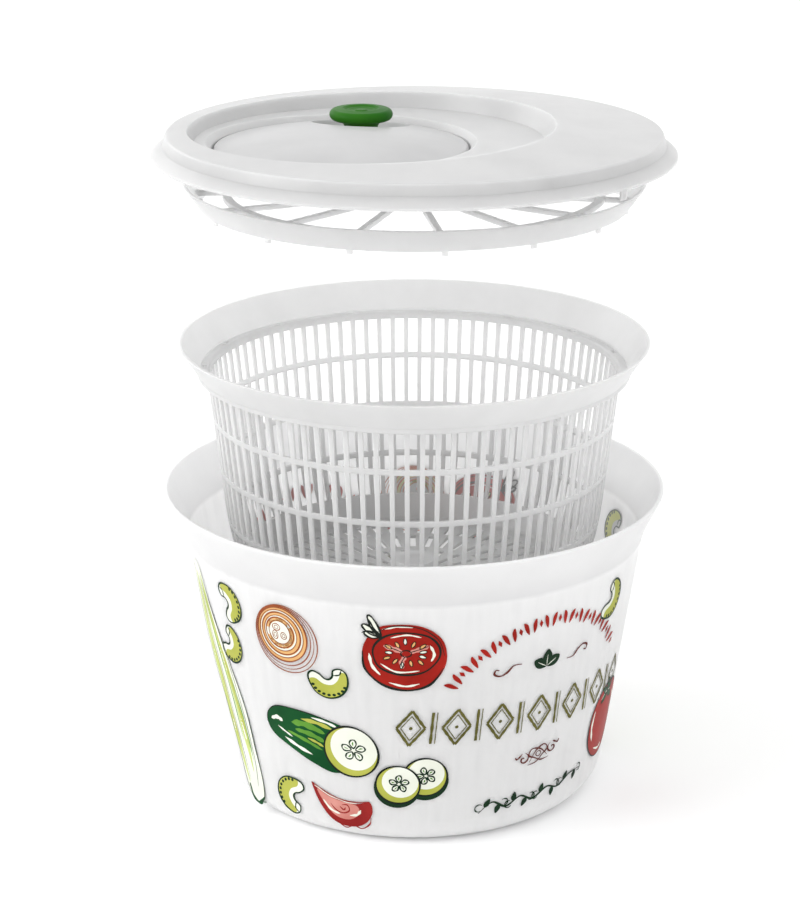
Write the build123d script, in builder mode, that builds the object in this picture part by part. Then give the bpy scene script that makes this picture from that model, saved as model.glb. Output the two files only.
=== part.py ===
"""Salad spinner: a slatted basket that spins in a bowl, turned by a geared dial in the lid.

The row is stored taken apart along its axis: the bowl stands on its base, the basket is half
lifted out of it, and the lid floats above. Lengths are in millimetres. The axis of the bowl is
Z, the base is at Z = 0, and the front is -Y.
"""

import os
from math import acos, cos, degrees, pi, radians, sin, tan

from build123d import *

os.makedirs("parts", exist_ok=True)

# ---------------------------------------------------------------- driving dimensions
WALL = 2.0                    # moulded wall of the bowl and the lid

# bowl
BOWL_H = 160.0
BOWL_RIM_R = 128.4
BOWL_FOOT_R = 97.0            # where the straight wall would meet the table
FOOT_ROUND = 17.0
COLLAR_R = 118.5              # outside radius where the flared collar starts
COLLAR_Z = 140.0
PEG_R = 5.0                   # peg that the basket turns on
CONE_TOP = 14.0               # top of the cone on the bowl's floor
PEG_TOP = 26.0

# basket, heights below its rim
BASKET_LIFT = 87.0            # how far it is lifted from its seat
BASKET_SEAT = 149.0           # height of its rim when it is seated
BASKET_RIM_R = 119.0
BASKET_WALL = 1.6
BASKET_H = 129.0
FLARE_R = 109.4               # foot of the flared rim
FLARE_H = 14.0
LEDGE_H = 2.0                 # thickness of the ledge under the flare
SLAT_R = 104.7                # outside of the slatted wall at the ledge
SLAT_TAPER = 6.5              # degrees
CURVE_TOP = 85.0              # where the wall starts to curve in
CURVE_R = 140.0
SLATS = 88
WINDOW_SHARE = 0.68           # part of the slat pitch that is open
WINDOW_ROWS = ((18.0, 36.7), (39.5, 63.7), (66.5, 90.7), (93.5, 114.0))
FLOOR_SLOTS = ((22, 20.0, 37.0), (36, 41.0, 58.0), (54, 62.0, 76.0))   # count, inner r, outer r

# lid, heights above the top edge of its rim
LID_LIFT = 171.3              # how far it is lifted from the bowl
LID_SEAT = 170.7              # height of its rim edge when it is closed
LID_R = 122.6                 # rim edge, where the dome meets the side
EDGE_Z = -0.2
DOME_Z = 6.0
STEP_R = 124.2                # step line, where the side meets the sloping flange
STEP_Z = -5.8
FLANGE_R = 129.8
FLANGE_Z = -10.2
LIP_Z = -11.3
RECESS_R = 86.5               # floor of the shallow round recess, off centre
RECESS_X = -22.0
RECESS_Z = -5.0
RECESS_SLOPE = 0.61           # how much the recess widens for each millimetre of height
WELL_R = 64.0
WELL_FLOOR = -19.0
WELL_BEVEL = 3.0

# dial and its gears
GEAR_MODULE = 1.5
PRESSURE_ANGLE = 20.0
RING_TEETH = 64
PINION_TEETH = 16
GEAR_OFFSET = GEAR_MODULE * (RING_TEETH - PINION_TEETH) / 2
DIAL_X = -GEAR_OFFSET
DIAL_R = 63.0
DISH_R = 24.8                 # finger dish around the knob
DISH_AT = (DIAL_X + 9.4, 32.6)
GEAR_TOP = -11.3
GEAR_H = 6.0
SCREW_CIRCLE_R = 54.0
SCREW_TURN = 13.9             # direction of the first gear screw, degrees

# driver under the lid
TABS = 15
TAB_TURN = -82.6              # direction of the first tab, degrees
TAB_R = 105.9                 # middle of the tabs and of their slots
BAND_TOP = -24.0
BAND_H = 11.4
BAND_TOP_R = 115.0
BAND_FOOT_R = 106.9
SPOKE_Z = -31.0
HOOP_R = 93.0

basket_rim = BASKET_SEAT + BASKET_LIFT
bush_z = BASKET_LIFT          # height that the bush is lifted with the basket
lid_z = LID_SEAT + LID_LIFT


# ---------------------------------------------------------------- helpers
def upright(x=0.0, y=0.0, z=0.0):
    """Plane whose local X is the radius from the line through (x, y) and local Y is height."""
    return Plane(origin=(x, y, z), x_dir=(1, 0, 0), z_dir=(0, -1, 0))


def turned(outline, x=0.0, y=0.0, z=0.0):
    """Solid of revolution about the upright line through (x, y); points are (radius, height)."""
    with BuildPart() as body:
        with BuildSketch(upright(x, y, z)):
            with BuildLine():
                Polyline(*outline, close=True)
            make_face()
        revolve(axis=Axis((x, y, z), (0, 0, 1)))
    return body.part


def screw(head_r, head_h, shank_r, shank_l, x=0.0, y=0.0, z=0.0):
    """Pan-head screw with its head down: z is the seat of the head, and the shank points up."""
    slot_w, slot_d = 0.3 * head_r, 0.45 * head_h
    with BuildPart() as body:
        add(turned([(0, -head_h), (0.8 * head_r, -head_h), (head_r, -0.5 * head_h), (head_r, 0),
                    (shank_r, 0), (shank_r, shank_l), (0, shank_l)], x, y, z))
        with Locations((x, y, z - head_h)):
            Box(1.3 * head_r, slot_w, 2 * slot_d, mode=Mode.SUBTRACT)
            Box(slot_w, 1.3 * head_r, 2 * slot_d, mode=Mode.SUBTRACT)
    return body.part


def gear_outline(teeth, root_r, tip_r, slack):
    """Closed outline with involute teeth standing out from root_r to tip_r, one tooth on +X.

    slack is what each flank is moved back at the pitch circle, so that the gears run free.
    """
    pitch_r = GEAR_MODULE * teeth / 2
    start_angle = radians(PRESSURE_ANGLE)
    base_r = pitch_r * cos(start_angle)
    step = 360 / teeth

    def half_width(r):
        flank_angle = acos(base_r / r)
        gain = (tan(start_angle) - start_angle) - (tan(flank_angle) - flank_angle)
        return degrees(pi / (2 * teeth) - slack / pitch_r + gain)

    def point(r, turn):
        return (r * cos(radians(turn)), r * sin(radians(turn)))

    low_r = max(root_r, base_r)
    flank = (low_r, (low_r + tip_r) / 2, tip_r)
    foot = half_width(low_r)
    with BuildSketch() as outline:
        with BuildLine():
            for tooth in range(teeth):
                middle = tooth * step
                rise = [point(r, middle - half_width(r)) for r in flank]
                fall = [point(r, middle + half_width(r)) for r in reversed(flank)]
                ThreePointArc(*rise)
                ThreePointArc(rise[-1], point(tip_r, middle), fall[0])
                ThreePointArc(*fall)
                root = [point(root_r, middle + turn) for turn in (foot, step / 2, step - foot)]
                if root_r < base_r:
                    Line(fall[-1], root[0])
                    Line(root[-1], point(low_r, middle + step - foot))
                ThreePointArc(*root)
        make_face()
    return outline.sketch


def save(piece, name):
    """Label a finished piece and write it under its node's name."""
    piece.part.label = name
    export_step(piece.part, f"parts/{name}.step")


# ---------------------------------------------------------------- bowl
with BuildPart() as bowl:
    with BuildSketch(upright()):
        with BuildLine():
            Polyline((0, 0), (BOWL_FOOT_R, 0), (COLLAR_R, COLLAR_Z), (BOWL_RIM_R, BOWL_H),
                     (0, BOWL_H), close=True)
        make_face()
    revolve(axis=Axis.Z)
    fillet(bowl.edges().filter_by(GeomType.CIRCLE).group_by(Axis.Z)[0], radius=FOOT_ROUND)
    fillet(bowl.edges().filter_by(GeomType.CIRCLE)
           .filter_by_position(Axis.Z, COLLAR_Z - 1, COLLAR_Z + 1), radius=45)
    offset(amount=-WALL, openings=bowl.faces().sort_by(Axis.Z)[-1])
    # cone and peg on the floor, and a shallow relief inside the foot
    add(turned([(0, 1.5), (17, 1.5), (13.5, 5), (9, CONE_TOP), (PEG_R, CONE_TOP),
                (PEG_R, PEG_TOP - 2), (PEG_R - 2, PEG_TOP), (0, PEG_TOP)]))
    add(turned([(0, -1), (70, -1), (69, 0.6), (0, 0.6)]), mode=Mode.SUBTRACT)
    fillet(bowl.edges().filter_by(GeomType.CIRCLE).group_by(Axis.Z)[-1], radius=0.7)
save(bowl, "bowl")

# bearing bush that stays in the basket's hub and drops over the peg
BUSH_R = 7.5
FLANGE_OF_BUSH_R = 9.5
RUNNING_GAP = 0.05
with BuildPart() as pivot_bush:
    add(turned([(PEG_R + RUNNING_GAP, 0.3), (FLANGE_OF_BUSH_R, 0.3), (FLANGE_OF_BUSH_R, 1.8),
                (BUSH_R, 1.8), (BUSH_R, 13.2), (BUSH_R - 0.8, 14), (0, 14), (0, 12.3),
                (PEG_R + RUNNING_GAP, 12.3)], z=bush_z + CONE_TOP))
save(pivot_bush, "pivot_bush")

# ---------------------------------------------------------------- basket
slat_foot_r = SLAT_R - (CURVE_TOP - FLARE_H - LEDGE_H) * tan(radians(SLAT_TAPER))
curve_start = radians(SLAT_TAPER)
curve_x = slat_foot_r - CURVE_R * cos(curve_start)
curve_z = -CURVE_TOP + CURVE_R * sin(curve_start)


def basket_radius(drop):
    """Outside radius of the slatted wall at a height below the rim."""
    if drop <= CURVE_TOP:
        return SLAT_R - (drop - FLARE_H - LEDGE_H) * tan(radians(SLAT_TAPER))
    return curve_x + (CURVE_R ** 2 - (curve_z + drop) ** 2) ** 0.5


with BuildPart() as basket:
    with BuildSketch(upright(z=basket_rim)):
        with BuildLine():
            middle = (CURVE_TOP + BASKET_H) / 2
            curve = ThreePointArc((slat_foot_r, -CURVE_TOP), (basket_radius(middle), -middle),
                                  (basket_radius(BASKET_H), -BASKET_H))
            Polyline(curve @ 1, (0, -BASKET_H), (0, 0), (BASKET_RIM_R, 0), (FLARE_R, -FLARE_H),
                     (FLARE_R, -FLARE_H - LEDGE_H), (SLAT_R, -FLARE_H - LEDGE_H), curve @ 0)
        make_face()
    revolve(axis=Axis.Z)
    fillet(basket.edges().filter_by(GeomType.CIRCLE).group_by(Axis.Z)[0], radius=5)
    offset(amount=-BASKET_WALL, openings=basket.faces().sort_by(Axis.Z)[-1])
    # hub that holds the bush, standing through the floor
    hub_foot = CONE_TOP + 2.1 - BASKET_SEAT
    hub_top = hub_foot + 14.2
    add(turned([(0, -BASKET_H), (16, -BASKET_H), (16, -BASKET_H + 2), (11, hub_top), (0, hub_top)],
               z=basket_rim))
    add(turned([(0, -BASKET_H), (11, -BASKET_H), (10.5, hub_foot), (0, hub_foot)], z=basket_rim))
    add(turned([(0, hub_foot - 1), (BUSH_R + RUNNING_GAP, hub_foot - 1),
                (BUSH_R + RUNNING_GAP, hub_top - 2), (0, hub_top - 2)], z=basket_rim),
        mode=Mode.SUBTRACT)
    # windows between the slats, in rows
    for top, bottom in WINDOW_ROWS:
        wall_r = basket_radius((top + bottom) / 2)
        window_w = WINDOW_SHARE * 2 * pi * wall_r / SLATS
        with Locations((0, 0, basket_rim - (top + bottom) / 2)):
            with PolarLocations(wall_r, SLATS):
                Box(18, window_w, bottom - top, mode=Mode.SUBTRACT)
    # drain slots in the floor
    for count, inner_r, outer_r in FLOOR_SLOTS:
        with Locations((0, 0, basket_rim - BASKET_H)):
            with PolarLocations((inner_r + outer_r) / 2, count):
                Box(outer_r - inner_r, 3, 6, mode=Mode.SUBTRACT)
    # slots in the ledge for the driver's tabs
    with Locations((0, 0, basket_rim - FLARE_H - LEDGE_H / 2)):
        with PolarLocations(TAB_R, TABS, start_angle=TAB_TURN):
            Box(2.2, 4.6, 3 * LEDGE_H, mode=Mode.SUBTRACT)
save(basket, "basket")

# ---------------------------------------------------------------- lid
recess_wall_r = RECESS_R + 1.2 * WALL
middle_z = EDGE_Z + 0.75 * (DOME_Z - EDGE_Z)
with BuildPart(mode=Mode.PRIVATE) as lid_hollow:
    with BuildSketch(upright(z=lid_z)):
        with BuildLine():
            inside = ThreePointArc((LID_R - WALL, EDGE_Z - WALL), (LID_R / 2, middle_z - WALL),
                                   (0, DOME_Z - WALL))
            Polyline(inside @ 1, (0, -30), (STEP_R - WALL, -30), (STEP_R - WALL, STEP_Z), inside @ 0)
        make_face()
    revolve(axis=Axis.Z)
    # what stays solid: the recess and its sloped side, the well and the stiffening ribs
    add(turned([(0, RECESS_Z - WALL), (recess_wall_r, RECESS_Z - WALL),
                (recess_wall_r + 14 * RECESS_SLOPE, RECESS_Z - WALL + 14),
                (0, RECESS_Z - WALL + 14)], RECESS_X, z=lid_z), mode=Mode.SUBTRACT)
    with Locations((DIAL_X, 0, lid_z)):
        Cylinder(WELL_R + WALL, 2 * (WALL - WELL_FLOOR), mode=Mode.SUBTRACT)
    for turn in (-60, -30, 0, 30, 60):
        with Locations(Location((0, 0, lid_z), (0, 0, turn))):
            with Locations((103, 0, 0)):
                Box(40, 1.6, 2 * (WALL - RECESS_Z), mode=Mode.SUBTRACT)

with BuildPart() as lid_cover:
    with BuildSketch(upright(z=lid_z)):
        with BuildLine():
            dome = ThreePointArc((0, DOME_Z), (LID_R / 2, middle_z), (LID_R - 0.9, EDGE_Z + 0.05))
            Polyline(dome @ 1, (LID_R - 0.25, EDGE_Z - 0.2), (LID_R + 0.15, EDGE_Z - 0.8),
                     (STEP_R, STEP_Z), (FLANGE_R, FLANGE_Z), (FLANGE_R, LIP_Z),
                     (FLANGE_R - 1.5, LIP_Z), (STEP_R - 0.9, STEP_Z - 1.3),
                     (STEP_R - 0.9, LIP_Z - 1.2), (STEP_R - 3.2, LIP_Z - 1.2), (0, LIP_Z - 1.2),
                     dome @ 0)
        make_face()
    revolve(axis=Axis.Z)
    with Locations((DIAL_X, 0, lid_z)):
        Cylinder(WELL_R + WALL, WALL - WELL_FLOOR, align=(Align.CENTER, Align.CENTER, Align.MAX))
    add(lid_hollow.part, mode=Mode.SUBTRACT)
    # recess, and the well for the dial with a boss for each bush under its floor
    add(turned([(0, RECESS_Z), (RECESS_R, RECESS_Z), (RECESS_R + 20 * RECESS_SLOPE, RECESS_Z + 20),
                (0, RECESS_Z + 20)], RECESS_X, z=lid_z), mode=Mode.SUBTRACT)
    add(turned([(0, WELL_FLOOR), (WELL_R, WELL_FLOOR), (WELL_R, RECESS_Z - WELL_BEVEL),
                (WELL_R + WELL_BEVEL, RECESS_Z), (WELL_R + WELL_BEVEL, RECESS_Z + 1),
                (0, RECESS_Z + 1)], DIAL_X, z=lid_z), mode=Mode.SUBTRACT)
    for boss_x, boss_r, hole_r in ((0, 10.5, 7.5), (DIAL_X, 9.5, 6.5)):
        with Locations((boss_x, 0, lid_z + WELL_FLOOR - 1)):
            Cylinder(boss_r, 4.6, align=(Align.CENTER, Align.CENTER, Align.MAX))
            Cylinder(hole_r, 20, mode=Mode.SUBTRACT)
    # small hook under the flange that marks the front
    with Locations(Location((0, 0, lid_z + LIP_Z), (0, 0, -41.7))):
        with Locations((FLANGE_R - 0.7, 0, 0.6)):
            Box(1.2, 4, 5.1, align=(Align.CENTER, Align.CENTER, Align.MAX))
save(lid_cover, "lid_cover")

# flanged bushes in the floor of the well
BUSH_FOOT = -25.0
with BuildPart() as driver_bush:
    add(turned([(5.05, BUSH_FOOT), (7.5, BUSH_FOOT), (7.5, WELL_FLOOR), (9.2, WELL_FLOOR),
                (9.2, WELL_FLOOR + 0.7), (5.05, WELL_FLOOR + 0.7)], z=lid_z))
save(driver_bush, "driver_bush")

with BuildPart() as dial_bush:
    add(turned([(4.55, BUSH_FOOT), (6.5, BUSH_FOOT), (6.5, WELL_FLOOR), (8.6, WELL_FLOOR),
                (8.6, WELL_FLOOR + 1), (4.55, WELL_FLOOR + 1)], DIAL_X, z=lid_z))
save(dial_bush, "dial_bush")

# ---------------------------------------------------------------- dial
DISH_FLOOR = -9.0
POST_R = 4.0
POST_TOP = 0.0
DIAL_TOP = 0.5                # crown of the domed dial
DIAL_EDGE = -7.3              # top of its edge
SKIRT_FOOT = -13.0
HUB_END = -25.3
dial_axis = Axis((DIAL_X, 0, lid_z), (0, 0, 1))
crown_z = DIAL_TOP + (DIAL_EDGE - DIAL_TOP) / 4
with BuildPart(mode=Mode.PRIVATE) as dial_hollow:
    with BuildSketch(upright(DIAL_X, z=lid_z)):
        with BuildLine():
            under = ThreePointArc((0, DIAL_TOP - 2.2), (31, crown_z - 2.2), (61, DIAL_EDGE - 2.0))
            Polyline(under @ 1, (61, SKIRT_FOOT - 1), (0, SKIRT_FOOT - 1), under @ 0)
        make_face()
    revolve(axis=dial_axis)
    # what stays solid: the hub, the pan under the finger dish and the bosses for the ring gear
    with Locations((DIAL_X, 0, lid_z)):
        Cylinder(8, 40, mode=Mode.SUBTRACT)
    with Locations((*DISH_AT, lid_z + DISH_FLOOR - 2)):
        Cylinder(DISH_R + 1.7, 20, align=(Align.CENTER, Align.CENTER, Align.MIN),
                 mode=Mode.SUBTRACT)
    with Locations((DIAL_X, 0, lid_z + GEAR_TOP)):
        with PolarLocations(SCREW_CIRCLE_R, 3, start_angle=SCREW_TURN):
            Cylinder(4.2, 20, align=(Align.CENTER, Align.CENTER, Align.MIN), mode=Mode.SUBTRACT)

with BuildPart() as dial:
    with BuildSketch(upright(DIAL_X, z=lid_z)):
        with BuildLine():
            top = ThreePointArc((0, DIAL_TOP), (31, crown_z), (DIAL_R - 1.6, DIAL_EDGE))
            Polyline(top @ 1, (DIAL_R - 0.8, DIAL_EDGE - 0.4), (DIAL_R - 0.2, DIAL_EDGE - 1.0),
                     (DIAL_R, DIAL_EDGE - 1.8), (DIAL_R, SKIRT_FOOT), (0, SKIRT_FOOT), top @ 0)
        make_face()
    revolve(axis=dial_axis)
    add(dial_hollow.part, mode=Mode.SUBTRACT)
    # stepped end of the hub that turns in the bush
    add(turned([(0, SKIRT_FOOT), (8, SKIRT_FOOT), (8, WELL_FLOOR + 1.3), (4.5, WELL_FLOOR + 1.3),
                (4.5, HUB_END), (0, HUB_END)], DIAL_X, z=lid_z))
    with BuildSketch(upright(*DISH_AT, z=lid_z)):
        with BuildLine():
            dish_curve = ThreePointArc((DISH_R - 8, DISH_FLOOR), (DISH_R - 2.4, DISH_FLOOR + 1.9),
                                       (DISH_R, DISH_FLOOR + 5.8))
            Polyline(dish_curve @ 1, (DISH_R, 3), (0, 3), (0, DISH_FLOOR), dish_curve @ 0)
        make_face()
    revolve(axis=Axis((*DISH_AT, lid_z), (0, 0, 1)), mode=Mode.SUBTRACT)
    with Locations((*DISH_AT, lid_z + DISH_FLOOR)):
        Cylinder(POST_R, POST_TOP - DISH_FLOOR, align=(Align.CENTER, Align.CENTER, Align.MIN))
    # pilot holes
    with Locations((*DISH_AT, lid_z + POST_TOP)):
        Cylinder(1.4, 2 * 8, mode=Mode.SUBTRACT)
    with Locations((DIAL_X, 0, lid_z + HUB_END)):
        Cylinder(1.5, 2 * 12, mode=Mode.SUBTRACT)
    with Locations((DIAL_X, 0, lid_z + GEAR_TOP)):
        with PolarLocations(SCREW_CIRCLE_R, 3, start_angle=SCREW_TURN):
            Cylinder(1.25, 2 * 3.6, mode=Mode.SUBTRACT)
save(dial, "dial")

with BuildPart() as ring_gear:
    with BuildSketch(Plane((DIAL_X, 0, lid_z + GEAR_TOP))):
        Circle(58)
        add(gear_outline(RING_TEETH, root_r=47.0, tip_r=49.6, slack=-0.06), mode=Mode.SUBTRACT)
    extrude(amount=-GEAR_H)
    with Locations((DIAL_X, 0, lid_z + GEAR_TOP - GEAR_H)):
        with PolarLocations(SCREW_CIRCLE_R, 3, start_angle=SCREW_TURN):
            Cylinder(1.5, 4 * GEAR_H, mode=Mode.SUBTRACT)
            Cylinder(3.1, 2 * 2.4, mode=Mode.SUBTRACT)
save(ring_gear, "ring_gear")

with BuildPart() as gear_screws:
    for place in PolarLocations(SCREW_CIRCLE_R, 3, start_angle=SCREW_TURN):
        at = place.position
        add(screw(2.8, 1.8, 1.25, 7.0, DIAL_X + at.X, at.Y, lid_z + GEAR_TOP - GEAR_H + 2.4))
save(gear_screws, "gear_screws")

with BuildPart() as dial_washer:
    add(turned([(1.6, HUB_END - 0.8), (7.5, HUB_END - 0.8), (7.5, HUB_END), (1.6, HUB_END)],
               DIAL_X, z=lid_z))
save(dial_washer, "dial_washer")

with BuildPart() as dial_screw:
    add(screw(3.2, 1.6, 1.5, 12.0, DIAL_X, 0, lid_z + HUB_END - 0.8))
save(dial_screw, "dial_screw")

# ---------------------------------------------------------------- knob
with BuildPart() as knob:
    with BuildSketch(upright(*DISH_AT, z=lid_z + POST_TOP)):
        with BuildLine():
            grip = ThreePointArc((8.4, -4.6), (10.2, -2.0), (13.4, -1.1))
            side = ThreePointArc(grip @ 1, (16.0, 1.6), (13.0, 4.5))
            Polyline(side @ 1, (9.5, 4.9), (7.6, 4.0), (6.8, 4.0), (6.8, -0.3), (4.3, -0.3),
                     (4.3, -8.7), (8.2, -8.7), grip @ 0)
        make_face()
    revolve(axis=Axis((*DISH_AT, lid_z), (0, 0, 1)))
save(knob, "knob")

with BuildPart() as knob_cap:
    add(turned([(0, 2.9), (6.8, 2.9), (6.8, 4.0), (5.4, 3.7), (3.4, 3.6), (2.6, 4.1), (0, 4.2)],
               *DISH_AT, z=lid_z + POST_TOP))
save(knob_cap, "knob_cap")

with BuildPart() as knob_washer:
    add(turned([(1.5, POST_TOP), (6.2, POST_TOP), (6.2, POST_TOP + 0.8), (1.5, POST_TOP + 0.8)],
               *DISH_AT, z=lid_z))
save(knob_washer, "knob_washer")

with BuildPart() as knob_screw:
    add(turned([(0, -7.5), (1.4, -7.5), (1.4, 0.8), (2.8, 0.8), (2.8, 1.8), (2, 2.4), (0, 2.4)],
               *DISH_AT, z=lid_z + POST_TOP))
    with Locations((*DISH_AT, lid_z + POST_TOP + 2.4)):
        Box(3.2, 0.8, 1.6, mode=Mode.SUBTRACT)
        Box(0.8, 3.2, 1.6, mode=Mode.SUBTRACT)
save(knob_screw, "knob_screw")

# ---------------------------------------------------------------- driver
HUB_TOP = -26.1
HUB_FOOT = -36.0
SHAFT_FOOT = -34.0
FLAT_TOP = -28.0              # the shaft has a flat on it below this height
FLAT_X = 4.0
band_foot = BAND_TOP - BAND_H
band_wall = 2.0
shaft_flat = Pos(FLAT_X + 5, 0, lid_z + (FLAT_TOP + SHAFT_FOOT) / 2) * Box(
    10, 20, FLAT_TOP - SHAFT_FOOT, mode=Mode.PRIVATE)
with BuildPart() as driver_spider:
    add(turned([(BAND_TOP_R, BAND_TOP), (BAND_FOOT_R, band_foot),
                (BAND_FOOT_R - band_wall, band_foot), (BAND_TOP_R - band_wall, BAND_TOP)],
               z=lid_z))
    with Locations((0, 0, lid_z + SPOKE_Z)):
        Cylinder(HOOP_R + 2, 2.4)
        Cylinder(HOOP_R - 2, 2.4, mode=Mode.SUBTRACT)
    with Locations((0, 0, lid_z + HUB_FOOT)):
        Cylinder(12, HUB_TOP - HUB_FOOT, align=(Align.CENTER, Align.CENTER, Align.MIN))
    with Locations((0, 0, lid_z + SPOKE_Z)):
        with PolarLocations(0, TABS, start_angle=TAB_TURN):
            with Locations((10, 0, 0)):
                Box(99.1, 3, 2.4, align=(Align.MIN, Align.CENTER, Align.CENTER))
    with Locations((0, 0, lid_z + band_foot)):
        with PolarLocations(TAB_R, TABS, start_angle=TAB_TURN):
            Box(1.4, 3, 2 * 2.2)
    with Locations((0, 0, lid_z + SHAFT_FOOT)):
        Cylinder(5, 20, align=(Align.CENTER, Align.CENTER, Align.MIN), mode=Mode.SUBTRACT)
        Cylinder(1.7, 20, mode=Mode.SUBTRACT)
    with Locations((FLAT_X + 2, 0, lid_z + SHAFT_FOOT)):
        Box(4, 8, FLAT_TOP - SHAFT_FOOT, align=(Align.CENTER, Align.CENTER, Align.MIN))
save(driver_spider, "driver_spider")

PINION_FOOT = -18.0
PINION_TOP = -11.7
STUB_TOP = -13.5
with BuildPart() as drive_shaft:
    add(turned([(0, SHAFT_FOOT), (5, SHAFT_FOOT), (5, PINION_FOOT), (3.5, PINION_FOOT),
                (3.5, STUB_TOP), (0, STUB_TOP)], z=lid_z))
    add(shaft_flat, mode=Mode.SUBTRACT)
    with Locations((FLAT_X, 0, lid_z + PINION_FOOT)):
        Box(2.4, 8, 2 * (STUB_TOP - PINION_FOOT), align=(Align.MIN, Align.CENTER, Align.MIN),
            mode=Mode.SUBTRACT)
    with Locations((0, 0, lid_z + SHAFT_FOOT)):
        Cylinder(1.6, 2 * 8, mode=Mode.SUBTRACT)
    with Locations((0, 0, lid_z + STUB_TOP)):
        Cylinder(1.4, 2 * 9, mode=Mode.SUBTRACT)
save(drive_shaft, "drive_shaft")

with BuildPart() as pinion:
    with BuildSketch(Plane((0, 0, lid_z + PINION_FOOT))):
        add(gear_outline(PINION_TEETH, root_r=10.5, tip_r=13.2, slack=0.1))
    extrude(amount=PINION_TOP - PINION_FOOT)
    with Locations((0, 0, lid_z + PINION_FOOT)):
        Cylinder(3.5, 2 * (STUB_TOP + 0.2 - PINION_FOOT), mode=Mode.SUBTRACT)
    with Locations((0, 0, lid_z + PINION_TOP)):
        CounterSinkHole(radius=1.5, counter_sink_radius=2.9)
save(pinion, "pinion")

with BuildPart() as pinion_screw:
    add(turned([(0, PINION_TOP - 9.4), (1.4, PINION_TOP - 9.4), (1.4, PINION_TOP - 1.4),
                (2.8, PINION_TOP - 0.1), (0, PINION_TOP - 0.1)], z=lid_z))
save(pinion_screw, "pinion_screw")

with BuildPart() as thrust_washer:
    add(turned([(5.1, HUB_TOP), (10, HUB_TOP), (10, HUB_TOP + 0.8), (5.1, HUB_TOP + 0.8)],
               z=lid_z))
save(thrust_washer, "thrust_washer")

with BuildPart() as hub_screw:
    add(screw(3.4, 1.8, 1.6, 9.0, z=lid_z + HUB_FOOT))
save(hub_screw, "hub_screw")
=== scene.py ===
"""Looks of the salad spinner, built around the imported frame. Lengths are in metres."""

import random
from math import cos, hypot, pi, radians, sin

import bpy
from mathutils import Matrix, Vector
from mathutils.geometry import delaunay_2d_cdt


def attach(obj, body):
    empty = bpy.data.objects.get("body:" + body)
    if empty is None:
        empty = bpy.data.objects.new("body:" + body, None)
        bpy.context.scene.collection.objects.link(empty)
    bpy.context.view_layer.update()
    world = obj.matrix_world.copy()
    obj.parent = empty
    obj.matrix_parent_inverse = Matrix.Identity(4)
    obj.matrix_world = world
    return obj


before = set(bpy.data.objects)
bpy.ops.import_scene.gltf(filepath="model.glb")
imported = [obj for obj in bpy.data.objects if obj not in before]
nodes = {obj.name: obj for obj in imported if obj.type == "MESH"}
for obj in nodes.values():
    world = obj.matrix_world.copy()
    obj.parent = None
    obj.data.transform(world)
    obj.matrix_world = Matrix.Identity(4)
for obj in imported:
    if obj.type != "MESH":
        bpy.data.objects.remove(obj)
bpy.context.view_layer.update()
MM = 0.001

CAMERA_PLACE = (-0.007, -1.285, 0.597)
CAMERA_DROP = 18.1                  # degrees below the level
LENS = 106                          # millimetres, on a sensor 36 wide
KEY_DIRECTION = (1.8, 0.5, -1.0)    # the sun shines from the left, a little from the front
FLOOR_REACH = 12.0


# ---------------------------------------------------------------- camera, light and floor
def add_camera():
    """Long lens, a little above the lid, looking down at the front of the bowl."""
    data = bpy.data.cameras.new("camera")
    data.lens = LENS
    data.sensor_width = 36
    camera = bpy.data.objects.new("camera", data)
    camera.location = CAMERA_PLACE
    camera.rotation_euler = (radians(90 - CAMERA_DROP), 0, 0)
    bpy.context.scene.collection.objects.link(camera)
    bpy.context.scene.camera = camera


def add_area_light(name, place, target, size, power):
    data = bpy.data.lights.new(name, "AREA")
    data.shape = "DISK"
    data.size = size
    data.energy = power
    light = bpy.data.objects.new(name, data)
    light.location = place
    light.rotation_euler = (Vector(target) - Vector(place)).to_track_quat("-Z", "Y").to_euler()
    bpy.context.scene.collection.objects.link(light)


def add_tent(scene):
    """White surroundings, a little brighter on the left."""
    world = bpy.data.worlds.new("studio")
    scene.world = world
    world.use_nodes = True
    tree = world.node_tree
    background = tree.nodes["Background"]
    background.inputs["Color"].default_value = (1.0, 1.0, 1.0, 1)
    place = tree.nodes.new("ShaderNodeTexCoord")
    split = tree.nodes.new("ShaderNodeSeparateXYZ")
    tent = tree.nodes.new("ShaderNodeMapRange")
    tent.inputs["From Min"].default_value = -1.0
    tent.inputs["To Min"].default_value = 1.3
    tent.inputs["To Max"].default_value = 0.9
    tree.links.new(place.outputs["Generated"], split.inputs["Vector"])
    tree.links.new(split.outputs["X"], tent.inputs["Value"])
    tree.links.new(tent.outputs["Result"], background.inputs["Strength"])


def add_studio():
    scene = bpy.context.scene
    scene.view_settings.view_transform = "Standard"
    add_tent(scene)
    sun = bpy.data.lights.new("key", "SUN")
    sun.energy = 0.9
    sun.angle = radians(40)
    key = bpy.data.objects.new("key", sun)
    key.rotation_euler = Vector(KEY_DIRECTION).to_track_quat("-Z", "Y").to_euler()
    scene.collection.objects.link(key)
    middle = (0, 0, 0.18)
    add_area_light("front", (0.9, -1.5, 0.5), middle, 0.9, 2)
    add_area_light("back", (-1.5, 1.5, 1.1), middle, 1.2, 3)
    mesh = bpy.data.meshes.new("floor")
    corners = [(FLOOR_REACH * x, FLOOR_REACH * y, 0) for x, y in ((-1, -1), (1, -1), (1, 1), (-1, 1))]
    mesh.from_pydata(corners, [], [(0, 1, 2, 3)])
    floor = bpy.data.objects.new("floor", mesh)
    scene.collection.objects.link(floor)
    floor.data.materials.append(floor_material())


# ---------------------------------------------------------------- materials
def new_material(name):
    material = bpy.data.materials.new(name)
    material.use_nodes = True
    tree = material.node_tree
    return material, tree, tree.nodes["Principled BSDF"]


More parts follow.
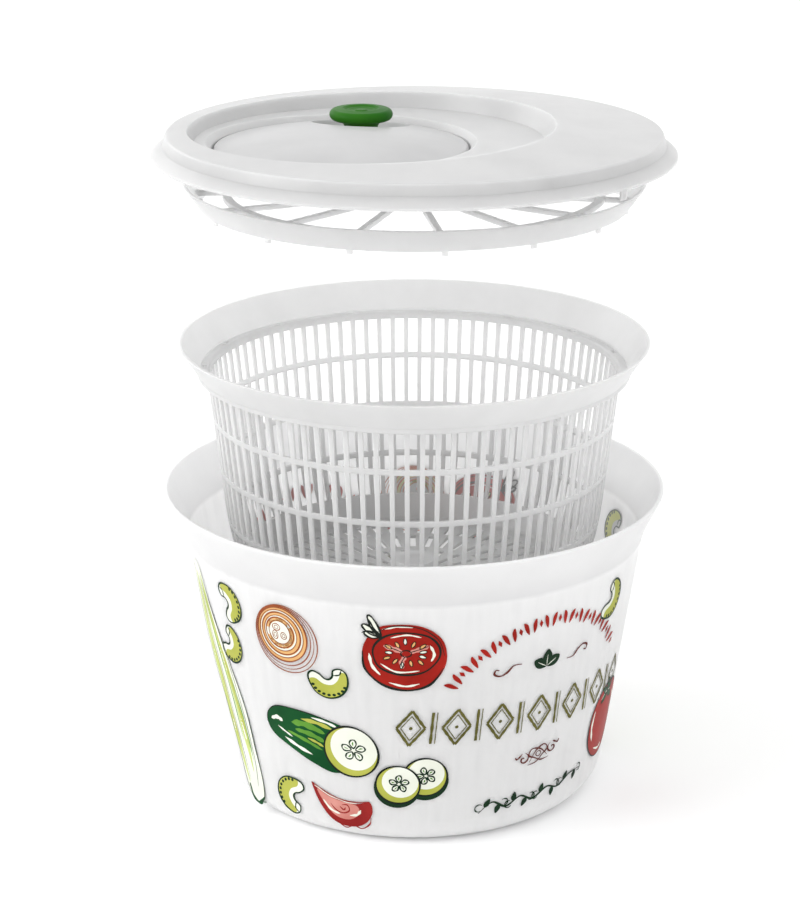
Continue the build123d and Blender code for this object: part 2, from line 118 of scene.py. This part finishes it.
def noise(tree, scale, detail=3.0, stretch=(1, 1, 1)):
    """Noise in the part's own coordinates, as a factor from 0 to 1."""
    place = tree.nodes.new("ShaderNodeTexCoord")
    mapping = tree.nodes.new("ShaderNodeMapping")
    mapping.inputs["Scale"].default_value = stretch
    texture = tree.nodes.new("ShaderNodeTexNoise")
    texture.inputs["Scale"].default_value = scale
    texture.inputs["Detail"].default_value = detail
    tree.links.new(place.outputs["Object"], mapping.inputs["Vector"])
    tree.links.new(mapping.outputs["Vector"], texture.inputs["Vector"])
    return texture.outputs["Fac"]


def ramp(tree, factor, low, high, start=0.3, end=0.7):
    """Colour that runs from low to high as the factor goes from start to end."""
    node = tree.nodes.new("ShaderNodeValToRGB")
    node.color_ramp.elements[0].position = start
    node.color_ramp.elements[1].position = end
    node.color_ramp.elements[0].color = (*low, 1)
    node.color_ramp.elements[1].color = (*high, 1)
    tree.links.new(factor, node.inputs["Fac"])
    return node.outputs["Color"]


def spread(tree, factor, low, high):
    """Number that runs from low to high with the factor."""
    node = tree.nodes.new("ShaderNodeMapRange")
    node.inputs["From Min"].default_value = 0.3
    node.inputs["From Max"].default_value = 0.7
    node.inputs["To Min"].default_value = low
    node.inputs["To Max"].default_value = high
    tree.links.new(factor, node.inputs["Value"])
    return node.outputs["Result"]


def bump(tree, shader, factor, strength, distance):
    node = tree.nodes.new("ShaderNodeBump")
    node.inputs["Strength"].default_value = strength
    node.inputs["Distance"].default_value = distance
    tree.links.new(factor, node.inputs["Height"])
    tree.links.new(node.outputs["Normal"], shader.inputs["Normal"])


def moulded(name, dark, light, roughness, grain=900.0, grain_depth=0.02 * MM, streaks=(1, 1, 1),
            drift_scale=40, unevenness=0.03, relief=0.35, glow=0.0, shine=0.5, depth=5.0):
    """Moulded plastic: a slight drift of colour and gloss, and a fine grain.

    glow is how much light passes into the plastic, and depth how far, in millimetres.
    """
    material, tree, shader = new_material(name)
    drift = noise(tree, drift_scale, stretch=streaks)
    tree.links.new(ramp(tree, drift, dark, light), shader.inputs["Base Color"])
    gloss = spread(tree, noise(tree, 90, stretch=streaks), roughness - unevenness,
                   roughness + unevenness)
    tree.links.new(gloss, shader.inputs["Roughness"])
    bump(tree, shader, noise(tree, grain, 2.0), relief, grain_depth)
    shader.inputs["Subsurface Weight"].default_value = glow
    shader.inputs["Subsurface Radius"].default_value = (1.0, 1.0, 1.0)
    shader.inputs["Subsurface Scale"].default_value = depth * MM
    shader.inputs["IOR"].default_value = 1.49
    shader.inputs["Specular IOR Level"].default_value = shine
    return material


def floor_material():
    material, tree, shader = new_material("floor")
    colour = ramp(tree, noise(tree, 3), (0.955, 0.955, 0.955), (0.98, 0.98, 0.98))
    tree.links.new(colour, shader.inputs["Base Color"])
    shader.inputs["Roughness"].default_value = 0.8
    return material


def steel_material():
    material, tree, shader = new_material("steel")
    colour = ramp(tree, noise(tree, 300), (0.55, 0.55, 0.57), (0.72, 0.72, 0.74))
    tree.links.new(colour, shader.inputs["Base Color"])
    tree.links.new(spread(tree, noise(tree, 700), 0.22, 0.38), shader.inputs["Roughness"])
    bump(tree, shader, noise(tree, 1500, 2.0), 0.3, 0.01 * MM)
    shader.inputs["Metallic"].default_value = 1.0
    return material


def dress(material, *names):
    """Give CAD nodes a material."""
    for name in names:
        slots = nodes[name].data.materials
        slots.clear()
        slots.append(material)


COLLAR_FOOT = 136 * MM    # height where the bowl's wall turns into its collar


def frosted_bowl():
    """Frosted plastic: streaked on the wall, even and milky from the collar up."""
    material = moulded("frosted_bowl", (0.88, 0.88, 0.886), (0.985, 0.985, 0.988), 0.36,
                       streaks=(1, 1, 0.03), drift_scale=110, glow=1.0, depth=12.0)
    tree = material.node_tree
    shader = tree.nodes["Principled BSDF"]
    place = tree.nodes.new("ShaderNodeTexCoord")
    split = tree.nodes.new("ShaderNodeSeparateXYZ")
    tree.links.new(place.outputs["Object"], split.inputs["Vector"])
    collar = tree.nodes.new("ShaderNodeMapRange")
    collar.interpolation_type = "SMOOTHSTEP"
    collar.inputs["From Min"].default_value = COLLAR_FOOT - 1.5 * MM
    collar.inputs["From Max"].default_value = COLLAR_FOOT + 1.5 * MM
    tree.links.new(split.outputs["Z"], collar.inputs["Value"])
    streaked = shader.inputs["Base Color"].links[0].from_socket
    even = ramp(tree, noise(tree, 30), (0.63, 0.63, 0.634), (0.67, 0.67, 0.672))
    colour = tree.nodes.new("ShaderNodeMix")
    colour.data_type = "RGBA"
    # a Mix node keeps its two colours in inputs 6 and 7, and their mix in output 2
    tree.links.new(collar.outputs["Result"], colour.inputs["Factor"])
    tree.links.new(streaked, colour.inputs[6])
    tree.links.new(even, colour.inputs[7])
    tree.links.new(colour.outputs[2], shader.inputs["Base Color"])
    return material


def dress_frame():
    dress(frosted_bowl(), "bowl")
    satin = {"grain": 420.0, "grain_depth": 0.006 * MM, "unevenness": 0.015, "relief": 0.2}
    lid = moulded("milky_lid", (0.465, 0.465, 0.467), (0.495, 0.495, 0.495), 0.30,
                  glow=1.0, depth=11.0, **satin)
    dress(lid, "lid_cover")
    basket = moulded("white_basket", (0.53, 0.53, 0.53), (0.57, 0.57, 0.57), 0.34,
                     glow=0.8, depth=16.0, **satin)
    dress(basket, "basket")
    driver = moulded("milky_driver", (0.86, 0.86, 0.86), (0.90, 0.90, 0.90), 0.34,
                     glow=1.0, depth=16.0, **satin)
    dress(driver, "driver_spider")
    dial = moulded("grey_dial", (0.47, 0.47, 0.473), (0.51, 0.51, 0.512), 0.30, glow=0.4, **satin)
    dress(dial, "dial")
    dress(moulded("green_knob", (0.012, 0.110, 0.006), (0.034, 0.160, 0.010), 0.42, shine=0.08),
          "knob", "knob_cap")
    dress(moulded("acetal", (0.70, 0.69, 0.65), (0.78, 0.77, 0.74), 0.38), "ring_gear", "pinion",
          "driver_bush", "dial_bush", "pivot_bush", "thrust_washer")
    dress(steel_material(), "gear_screws", "dial_washer", "dial_screw", "knob_washer",
          "knob_screw", "drive_shaft", "pinion_screw", "hub_screw")


# ---------------------------------------------------------------- printed drawings
# Each ink as its dark and its light tone.
INKS = {
    "red": ((0.23, 0.008, 0.004), (0.36, 0.016, 0.010)),
    "rose": ((0.50, 0.16, 0.13), (0.72, 0.38, 0.33)),
    "crimson": ((0.22, 0.012, 0.012), (0.34, 0.025, 0.022)),
    "black": ((0.006, 0.010, 0.008), (0.016, 0.020, 0.016)),
    "forest": ((0.000, 0.045, 0.010), (0.004, 0.075, 0.018)),
    "pine": ((0.004, 0.020, 0.008), (0.010, 0.035, 0.014)),
    "leaf": ((0.06, 0.20, 0.02), (0.12, 0.30, 0.04)),
    "olive": ((0.34, 0.36, 0.05), (0.45, 0.46, 0.09)),
    "lime": ((0.44, 0.52, 0.13), (0.55, 0.62, 0.22)),
    "pale": ((0.70, 0.72, 0.62), (0.80, 0.82, 0.74)),
    "orange": ((0.64, 0.34, 0.12), (0.76, 0.46, 0.20)),
    "rust": ((0.20, 0.045, 0.015), (0.32, 0.085, 0.030)),
    "band": ((0.085, 0.080, 0.018), (0.14, 0.13, 0.035)),
    "maroon": ((0.09, 0.020, 0.016), (0.15, 0.035, 0.028)),
}
ink_materials = {}
PAINTED_SHOW_THROUGH = "_shown_through"    # ends the name of an ink seen from inside the bowl: a paler copy on the wall's inner face, painted light standing in for the print showing through the wall
# The straight part of the bowl's wall, in millimetres.
WALL_FOOT_R = 97.0
WALL_SPREAD = 21.5 / 140            # how much the radius grows per millimetre of height
WALL_THICKNESS = 2.03               # measured level
INK_LIFT = 0.06                     # first layer of ink above the wall
LAYER_LIFT = 0.025                  # each further layer
GRID = 2.2                          # size of the facets inside a filled shape
# The far side carries the same drawings again, with two changes.
FAR_TURN = 162
FAR_ONION = 18
FAR_SHIFT = 14


def ink_material(ink):
    if ink not in ink_materials:
        dark, light = INKS[ink.removesuffix(PAINTED_SHOW_THROUGH)]
        # painted show-through: the inner copy's tones are lifted towards white, as painted light coming
        # through the wall
        if ink.endswith(PAINTED_SHOW_THROUGH):
            dark, light = ([min(0.88, 1.3 * part + 0.4) for part in tone] for tone in (dark, light))
        ink_materials[ink] = moulded(f"ink_{ink}", dark, light, 0.40, grain=1400.0,
                                     grain_depth=0.01 * MM, shine=0.08)
    return ink_materials[ink]


def smooth(points, closed=True, steps=6):
    """Points along a smooth curve through the given ones."""
    count = len(points)
    result = []
    for span in range(count if closed else count - 1):
        near = [span + k for k in (-1, 0, 1, 2)]
        a, b, c, d = (points[k % count if closed else min(max(k, 0), count - 1)] for k in near)
        for step in range(steps):
            t = step / steps
            result.append(tuple(
                0.5 * (2 * b[i] + (c[i] - a[i]) * t + (2 * a[i] - 5 * b[i] + 4 * c[i] - d[i]) * t ** 2
                       + (3 * b[i] - a[i] - 3 * c[i] + d[i]) * t ** 3) for i in (0, 1)))
    return result if closed else result + [points[-1]]


def arc(radius, start, end, centre=(0, 0), squash=1.0, steps=24):
    """Points on an arc, in degrees from the right, anticlockwise."""
    return [(centre[0] + radius * cos(radians(start + (end - start) * k / steps)),
             centre[1] + squash * radius * sin(radians(start + (end - start) * k / steps)))
            for k in range(steps + 1)]


def ring(radius, centre=(0, 0), squash=1.0, steps=40):
    return arc(radius, 0, 360, centre, squash, steps)[:-1]


def moved(points, x=0.0, y=0.0, turn=0.0, size=1.0):
    c, s = size * cos(radians(turn)), size * sin(radians(turn))
    return [(x + c * u - s * v, y + s * u + c * v) for u, v in points]


def inside(outline, x, y):
    hit = False
    for (ax, ay), (bx, by) in zip(outline, outline[1:] + outline[:1]):
        if (ay > y) != (by > y) and x < ax + (y - ay) * (bx - ax) / (by - ay):
            hit = not hit
    return hit


class Drawing:
    """One printed drawing: thin ink shapes in flat millimetres, wrapped on the bowl's wall."""

    def __init__(self, name, azimuth, height, turn, base):
        self.name, self.azimuth, self.height, self.turn, self.base = name, azimuth, height, turn, base
        self.points, self.faces, self.inks, self.face_inks = [], [], [], []
        self.hand = random.Random(name)

    def add(self, ink, layer, points, faces):
        """Lay a shape on the wall, and a paler painted copy inside, standing in for the light that shows the
        print through the wall.
        """
        lift = INK_LIFT + LAYER_LIFT * (self.base + layer)
        self.lay(ink, points, faces, lift)
        # paler painted copy on the inner face: painted light showing the print through the wall
        self.lay(ink + PAINTED_SHOW_THROUGH, points, faces, -WALL_THICKNESS - lift)

    def lay(self, ink, points, faces, offset):
        if ink not in self.inks:
            self.inks.append(ink)
        first = len(self.points)
        for u, v in moved(points, turn=self.turn):
            z = self.height + 0.985 * v
            r = WALL_FOOT_R + WALL_SPREAD * z
            angle = radians(self.azimuth) + u / r
            r += offset
            self.points.append((r * sin(angle) * MM, -r * cos(angle) * MM, z * MM))
        for face in faces:
            self.faces.append([first + k for k in face])
            self.face_inks.append(self.inks.index(ink))

    def fill(self, ink, outline, layer=0):
        """Cover a closed outline with facets small enough to bend with the wall."""
        count = len(outline)
        reach = max(abs(value) for point in outline for value in point)
        steps = range(-int(reach / GRID), int(reach / GRID) + 1)
        grid = [(GRID * i, GRID * j) for i in steps for j in steps if inside(outline, GRID * i, GRID * j)]
        rim = [(k, (k + 1) % count) for k in range(count)]
        flat, _, faces, *_ = delaunay_2d_cdt([Vector(p) for p in outline + grid], rim, [], 1, 1e-4)
        self.add(ink, layer, [tuple(p) for p in flat], faces)

    def line(self, ink, path, width, closed=False, layer=3, taper=0.35):
        """Pen stroke that swells and thins along its path."""
        count = len(path)
        left, right = [], []
        swell = self.hand.uniform(0, 2 * pi)
        for k, (x, y) in enumerate(path):
            before = path[(k - 1) % count] if closed else path[max(k - 1, 0)]
            after = path[(k + 1) % count] if closed else path[min(k + 1, count - 1)]
            dx, dy = after[0] - before[0], after[1] - before[1]
            run = hypot(dx, dy) or 1.0
            half = width / 2 * (1 + 0.22 * sin(swell + 6 * pi * k / count))
            if not closed:
                half *= taper + (1 - taper) * min(1.0, 5 * k / count, 5 * (count - 1 - k) / count)
            left.append((x - dy / run * half, y + dx / run * half))
            right.append((x + dy / run * half, y - dx / run * half))
        last = count if closed else count - 1
        faces = [(count + k, count + (k + 1) % count, (k + 1) % count, k) for k in range(last)]
        self.add(ink, layer, left + right, faces)

    def finish(self):
        mesh = bpy.data.meshes.new(self.name)
        mesh.from_pydata(self.points, [], self.faces)
        for ink in self.inks:
            mesh.materials.append(ink_material(ink))
        for polygon, ink in zip(mesh.polygons, self.face_inks):
            polygon.material_index = ink
            polygon.use_smooth = True
        print_object = bpy.data.objects.new(self.name, mesh)
        bpy.context.scene.collection.objects.link(print_object)
        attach(print_object, "bowl")


def onion(page):
    for radius, ink, x, y in ((14.8, "orange", -2.0, 2.2), (12.7, "pale", -2.0, 2.2),
                              (11.9, "orange", -2.2, 2.4), (9.4, "pale", -2.4, 2.6),
                              (8.7, "orange", -2.6, 2.8), (6.0, "pale", -2.8, 2.9)):
        page.fill(ink, ring(radius, (x, y), 1.02), round((14.8 - radius) / 1.5))
    for radius, x, y, width in ((18.2, 0.0, 0.0, 0.55), (17.1, -0.7, 0.6, 0.4), (15.9, -1.2, 1.3, 0.55),
                                (14.6, -1.9, 2.0, 0.7), (12.9, -2.2, 2.3, 0.45), (11.4, -2.2, 2.5, 0.7),
                                (9.6, -2.5, 2.6, 0.4), (8.2, -2.8, 2.8, 0.65), (6.3, -3.0, 3.0, 0.4)):
        page.line("rust", ring(radius, (x, y), 1.02, 56), width, closed=True, layer=7)
    for x, y, rx, squash in ((-4.6, 5.6, 2.3, 0.8), (-5.6, 1.2, 1.6, 1.5), (-0.6, 1.4, 1.7, 1.1)):
        page.line("rust", ring(rx, (x, y), squash, 18), 0.45, closed=True, layer=7)
        page.line("rust", ring(rx * 0.5, (x, y), squash, 12), 0.3, closed=True, layer=7)


def tomato(page):
    body = smooth([(-20, 1), (-18, -8), (-10, -15.5), (2, -18.5), (13, -15.5), (20, -6), (21, 4),
                   (17.5, 12), (9, 17.5), (-2, 18.5), (-12, 16.5), (-18, 9)])
    page.fill("red", body)
    page.line("black", smooth([(-19.6, 3), (-18.5, -7), (-10, -15.4), (2, -18.3), (13, -15), (19.6, -6)],
                              False, 8), 1.2)
    page.line("black", smooth([(-15, 12), (-5, 17.4), (8, 16.5), (17, 10), (20, 1)], False, 8), 0.5)
    face = smooth([(-14.5, 1), (-11, -6), (-1, -9.5), (10, -8), (17, -1), (17.5, 6), (12, 12),
                   (1, 14), (-8, 12), (-13.5, 7)])
    page.line("black", face, 1.0, closed=True)
    # light left by the pen on the skin and on the cut face
    for path, width in (([(-16.5, 2), (-15, -5), (-11, -10)], 1.4), ([(-7, -14), (1, -16), (8, -14.5)], 1.0),
                        ([(-10, 15.6), (-2, 17.4), (5, 17)], 1.0), ([(-11, -3.5), (-3, -8), (8, -7.2)], 0.9),
                        ([(13, 7), (15, 2), (13.5, -2)], 1.3), ([(-6, 11), (2, 12.8), (9, 11.4)], 0.8)):
        page.line("pale", smooth(path, False), width, layer=2, taper=0.1)
    for k in range(13):
        turn = 360 * k / 13 + 9
        reach = (0.86, 1.04)[k % 2]
        x, y = 1.5 + 9.6 * reach * cos(radians(turn)), 2.4 + 6.4 * reach * sin(radians(turn))
        seed = moved(smooth([(-1.7, 0), (-0.4, 0.8), (1.5, 0.5), (1.8, 0), (1.5, -0.5), (-0.4, -0.8)]),
                     x, y, turn)
        page.fill(("orange", "pale")[k % 3 == 0], seed, 2)
        page.line("black", seed, 0.45, closed=True, layer=4)
    for turn in (30, 150, 262):
        c, s = cos(radians(turn)), sin(radians(turn))
        spoke = [(1.5 + 2 * c, 2.4 + 1.4 * s), (1.5 + 7 * c + 1.2 * s, 2.4 + 4.8 * s),
                 (1.5 + 12.6 * c, 2.4 + 8.4 * s)]
        page.line("rose", smooth(spoke, False), 2.4, layer=1, taper=0.3)
        page.line("black", smooth(spoke, False), 0.5, layer=2)
    page.line("black", ring(2.6, (1.5, 2.4), 0.7, 20), 0.6, closed=True)
    for turn, reach in ((118, 12.5), (146, 10.5), (168, 8.0)):
        sepal = moved(smooth([(0, 0), (reach * 0.5, 2.0), (reach, 0.8), (reach * 0.95, -1.0),
                              (reach * 0.45, -1.4)]), -10.5, 11.5, turn)
        page.fill("pale", sepal, 1)
        page.line("black", sepal, 0.9, closed=True)
    page.line("black", smooth([(-11, 11.5), (-14, 16), (-16.5, 21)], False), 0.8)
    page.line("black", smooth([(-11, 11.5), (-17, 14), (-20, 13)], False), 0.6)


def seed_star(page, x, y, size, count=5):
    """Seed pockets in a slice of cucumber."""
    for k in range(count):
        turn = 360 * k / count + 18
        pocket = moved(smooth([(1.0, 0), (3.0, 1.5), (4.6, 0.8), (4.8, -0.7), (3.0, -1.3)]), x, y, turn,
                       size)
        page.line("pine", pocket, 0.75, closed=True, layer=5)
        page.line("leaf", moved([(2.2, 0.1), (3.2, 0.2), (4.0, 0.0)], x, y, turn, size), 0.7, layer=5)


def cucumber(page):
    page.fill("forest", smooth([(-31, 5), (-30, 11), (-24, 16), (-13, 17.2), (0, 16), (13, 12.5),
                                (20, 4), (18, -10), (8, -15.5), (-4, -12), (-17, -6), (-27, -1)]))
    for path, ink, width in (([(-15, 9), (-6, 9.6), (4, 6.5)], "leaf", 3.4),
                             ([(-13, 5.5), (-4, 4.6), (4, 1.5)], "leaf", 2.6),
                             ([(-9, 12.4), (0, 12), (9, 9.5)], "olive", 2.0),
                             ([(-18, 3.4), (-8, 0.6), (2, -3.4)], "leaf", 1.8),
                             ([(-3, 14.6), (5, 13.4), (12, 11)], "pale", 1.3),
                             ([(-28, 7.6), (-24, 9.4), (-20.5, 8.0)], "pale", 2.2),
                             ([(-24, 4.6), (-19, 2.2), (-15, 0.4)], "pale", 0.9),
                             ([(-20, -0.8), (-12, -4.4), (-4, -7.2)], "pale", 1.7),
                             ([(-6, 2.0), (-1, 0.6), (3, -1.4)], "olive", 1.3)):
        page.line(ink, smooth(path, False), width, layer=1, taper=0.05)
    page.line("black", smooth([(-31, 5), (-30, 11), (-24, 16), (-13, 17.2), (0, 16), (13, 12.8)], False),
              0.5)
    for radius, ink, x, y, layer in ((14.2, "forest", 17.0, -1.8, 2), (13.6, "olive", 17.2, -1.5, 3),
                                     (12.0, "pale", 18.6, 0.2, 4)):
        page.fill(ink, ring(radius, (x, y), 1.03), layer)
    page.line("black", ring(14.0, (17.1, -1.6), 1.03), 1.0, closed=True, layer=5)
    seed_star(page, 18.6, -0.6, 1.25)


def cucumber_slice(page):
    for radius, ink, x, y, layer in ((11.4, "pine", -0.6, -2.2, 0), (10.7, "olive", 0, -0.4, 1),
                                     (9.0, "pale", 1.1, 1.5, 2)):
        page.fill(ink, ring(radius, (x, y)), layer)
    page.line("black", ring(10.9), 0.9, closed=True, layer=3)
    seed_star(page, 0.6, 0.6, 1.0)


def celery_slice(page):
    """Curved cut piece that opens upward, with small marks along its outer edge."""
    outline = smooth([(-10.4, 4.6), (-10.4, 0.2), (-7.8, -5.4), (-2.0, -8.4), (4.8, -7.2), (9.4, -2.2),
                      (10.4, 4.2), (7.8, 7.6), (3.8, 7.0), (2.6, 3.6), (0.4, 2.0), (-2.0, 2.6),
                      (-4.2, 5.0), (-7.6, 6.6)])
    page.fill("pale", outline)
    page.fill("olive", smooth([(-10.2, 2.0), (-9.2, -2.6), (-5.4, -7.0), (0.6, -8.2), (6.2, -5.8),
                               (9.8, -0.4), (9.9, 4.8), (7.6, 5.6), (5.2, 1.6), (1.6, -1.0),
                               (-3.0, -0.4), (-6.8, 2.6)]), 1)
    page.line("pine", outline, 0.9, closed=True)
    page.line("pine", smooth([(3.0, 4.2), (6.6, 4.6), (8.0, 7.0)], False), 0.7)
    for k in range(9):
        turn = 190 + 18 * k
        x, y = 8.9 * cos(radians(turn)), 7.2 * sin(radians(turn)) + 0.4
        page.fill("pine", ring(1.0, (x, y), 0.8, 8), 2)


def wedge(page):
    page.fill("crimson", smooth([(-16, 12), (-9, 7), (0, 4.4), (8, 3.4), (14.5, 5.4), (16, 0),
                                 (13.6, -5.4), (8, -9.6), (0, -10), (-7, -6), (-12.4, 2)]))
    page.fill("rose", smooth([(-13, 8.6), (-6, 5.2), (2, 3.4), (8, 2.2), (9, -2.4), (4, -6.4),
                              (-3, -5.6), (-8.6, 0)]), 1)
    for path, width in (([(-14.6, 10.4), (-6, 6.2), (2, 4.2), (8, 3.4)], 1.1),
                        ([(-10, 3), (-6, -2), (-1, -4)], 1.2), ([(4, -4), (8, -3), (10, 0)], 1.3)):
        page.line("pale", smooth(path, False), width, layer=2, taper=0.1)
    for path in ([(-16, 12), (-12.4, 2), (-7, -6), (0, -10), (8, -9.6), (13.6, -5.4), (16, 0)],
                 [(-16, 12), (-6, 6.6), (4, 4.2), (14.5, 5.4)], [(9, 2.6), (12.6, -1), (12, -5)],
                 [(-6, 1.6), (-3, -2), (1, -3), (4, -1), (3, 2), (0, 1.6)], [(-1, 0.6), (1, -1.2), (2, 0.4)],
                 [(-2, -9.4), (2, -11.4), (6, -9.6), (10, -11), (14, -8), (15, -4)]):
        page.line("crimson", smooth(path, False), 0.7)


def celery_stalk(page):
    """Bunch of long stalks that leans out along the side of the bowl."""
    left = [(-23, 63), (-21.5, 34), (-16, 12), (-7, -10), (-2, -30), (2, -52), (5, -60)]
    right = [(12, -61.5), (17, -57), (18.2, -46), (16.6, -30), (13.5, -6), (4, 20), (-6, 42), (-13.5, 63)]
    page.fill("pale", smooth(left + right))
    for path, ink, width in (([(-20, 60), (-17, 30), (-9, 2), (-1, -26), (5, -52)], "lime", 4.0),
                             ([(-15, 60), (-9, 36), (1, 10), (8, -18), (11, -44)], "lime", 4.4),
                             ([(-18, 56), (-13, 26), (-4, -6), (2, -34)], "olive", 1.5),
                             ([(-12, 50), (-3, 24), (6, -4), (11, -30)], "olive", 1.6),
                             ([(-14, 52), (-6, 24), (2, -4), (6, -28)], "leaf", 0.9),
                             ([(4, 8), (10, -14), (13, -38)], "leaf", 0.9)):
        page.line(ink, smooth(path, False, 14), width, layer=1, taper=0.1)
    for path, width in ((left, 0.5), (right[::-1], 0.8),
                        ([(-17, 58), (-11, 28), (-3, -2), (3, -30), (6.5, -50)], 0.4),
                        ([(-9, 48), (2, 22), (10, -6), (14, -34), (13, -52)], 0.45)):
        page.line("pine", smooth(path, False, 14), width, layer=2)
    page.line("forest", smooth([(4.6, -53), (6.4, -60), (12, -61.8), (16.6, -57)], False), 2.0, layer=2)


def leaf_trio(page):
    for turn, reach in ((90, 9.5), (150, 9.0), (30, 9.0)):
        blade = moved(smooth([(0, 0), (3, 2.6), (6.4, 2.6), (reach, 0), (6.4, -2.6), (3, -2.6)]), 0, -4,
                      turn)
        page.fill("pine", blade)
        page.line("pale", moved([(0.4, 0), (3, 0.1), (6.4, 0)], 0, -4, turn), 0.5)


def flourish(page):
    """Small S-shaped stroke with a curl at its outer end."""
    page.line("maroon", smooth([(7.5, 1.0), (3.0, 1.6), (-0.5, -1.0), (-4.4, -2.2), (-7.4, -0.4),
                                (-6.6, 1.8), (-4.8, 1.2)], False), 1.0)


def garland(page):
    """Arched row of upright leaves with a lozenge between each pair."""
    for k in range(33):
        turn = 148 - 3.62 * k
        x, y = 61 * cos(radians(turn)), 61 * sin(radians(turn)) - 61
        if k % 3 == 2:
            shape = [(0, 2.2), (1.1, 0), (0, -2.2), (-1.1, 0)]
        else:
            side = 1 if k % 3 else -1
            shape = smooth([(-0.5 * side, -3.8), (1.3 * side, -0.8), (1.6 * side, 3.8), (-0.6 * side, 1.6)])
        page.fill("red", moved(shape, x, y, turn - 90))


def olive_band(page):
    """Wide band of double-line lozenges with pairs of bars between them."""
    for k in range(7):
        x = -67.5 + 22.5 * k
        for radius, width in ((1.0, 1.4), (0.70, 0.5)):
            corners = [(x, 10 * radius), (x + 7 * radius, 0), (x, -10 * radius), (x - 7 * radius, 0)]
            for (ax, ay), (bx, by) in zip(corners, corners[1:] + corners[:1]):
                page.line("band", [(ax + (bx - ax) * t / 6, ay + (by - ay) * t / 6) for t in range(7)],
                          width, taper=1.0)
        page.fill("band", ring(0.9, (x, 0), steps=12))
        if k < 6:
            for shift, width in ((10.3, 1.4), (12.4, 0.5)):
                page.line("band", [(x + shift, 9 - 3 * t) for t in range(7)], width, taper=1.0)


def scroll(page):
    """Two mirrored spirals joined by loops."""
    for side in (-1, 1):
        curl = [(side * (9 - 3.4 * t * cos(7.5 * t)), 3.4 * t * sin(7.5 * t))
                for t in [1 - k / 30 for k in range(29)]]
        page.line("maroon", curl, 0.9)
        page.line("maroon", smooth([(side * 5.6, -3.2), (side * 1.5, 2.2), (-side * 3.6, 4.2),
                                    (-side * 5.8, 1.0), (-side * 2.4, -1.6), (side * 1.4, -4.4),
                                    (side * 6.6, -4.6)], False), 0.8)
        page.line("maroon", smooth([(side * 9.5, 3.6), (side * 12.6, 1.4), (side * 13.8, 2.8)], False), 0.9)
    page.line("maroon", ring(1.5, steps=16), 0.5, closed=True)


def vine(page):
    """Long waving stem with small leaves and curls."""
    stem = smooth([(-33, -3), (-26, 2.6), (-18, -1.4), (-10, 2.6), (-2, -1.0), (7, 3.0), (15, 0.6),
                   (24, 4.6), (33, 5.0)], False, 10)
    page.line("pine", stem, 1.1)
    for k in range(8):
        x, y = stem[5 + 10 * k]
        turn = (62, -118)[k % 2] + 12 * (k % 3)
        leaf = moved(smooth([(0, 0), (2.2, 1.6), (5.4, 0), (2.2, -1.6)]), x, y, turn)
        page.fill("pine", leaf, 1)
        page.line("pine", moved(arc(2.1, -90, 170, (2.0, 2.1), steps=14), x, y, turn + 70), 0.7)


def edge_tomato(page):
    skin = smooth([(-19, 2), (-17, -10), (-9, -19), (2, -21.5), (13, -17), (19, -7), (19.5, 6),
                   (14, 16), (4, 21), (-8, 19), (-16, 12)])
    page.fill("red", skin)
    page.line("black", skin, 0.7, closed=True)
    for path, width in (([(-15, 9), (-16, 0), (-13, -9)], 1.6), ([(-8, -15), (0, -18), (6, -17)], 1.2),
                        ([(10, 12), (15, 5), (14, -4)], 1.2), ([(-9, 13), (-3, 16), (4, 15)], 1.0)):
        page.line("pale", smooth(path, False), width, layer=2, taper=0.1)
    for turn in (40, 95, 150, 205, 330):
        sepal = moved(smooth([(0, 0), (4, 1.8), (9, 0), (4, -1.8)]), -1, 15, turn)
        page.fill("forest", sepal, 2)
        page.line("black", sepal, 0.4, closed=True, layer=4)


def print_bowl():
    """Two sets of drawings around the wall."""
    # drawing, azimuth from the front, height, how far it leans, and the layer it starts on
    places = (
        (celery_stalk, -60, 67, 0, 0), (celery_slice, -51.8, 120, 100, 0),
        (celery_slice, -54.3, 95, 55, 0), (onion, -33.4, 111, 0, 0), (celery_slice, -22, 91, 8, 0),
        (cucumber, -26.5, 55, 0, 0), (celery_slice, -38, 21, -110, 0), (wedge, -21, 20, 0, 0),
        (cucumber_slice, 3, 41, 20, 0), (cucumber_slice, -4.5, 36.5, 0, 8),
        (tomato, -2.8, 108.5, 0, 0), (leaf_trio, 35.4, 99, 0, 0), (flourish, 24, 97.5, 8, 0),
        (flourish, 45.8, 97.8, 188, 0), (garland, 36, 120.5, 0, 0), (olive_band, 35, 69, 0, 0),
        (scroll, 36.4, 45, 8, 0), (vine, 37.5, 20, 0, 0), (celery_slice, 59, 117.5, 60, 0),
        (edge_tomato, 69.5, 44, 0, 4),
    )
    for turn in (0, FAR_TURN):
        for drawing, azimuth, height, lean, base in places:
            if turn and drawing is onion:
                azimuth = FAR_ONION
            elif turn and azimuth > 15:
                azimuth += FAR_SHIFT
            name = f"print_{drawing.__name__}_{turn}_{round(azimuth + 90)}"
            page = Drawing(name, azimuth + turn, height, lean, base)
            drawing(page)
            page.finish()


add_camera()
add_studio()
dress_frame()
print_bowl()
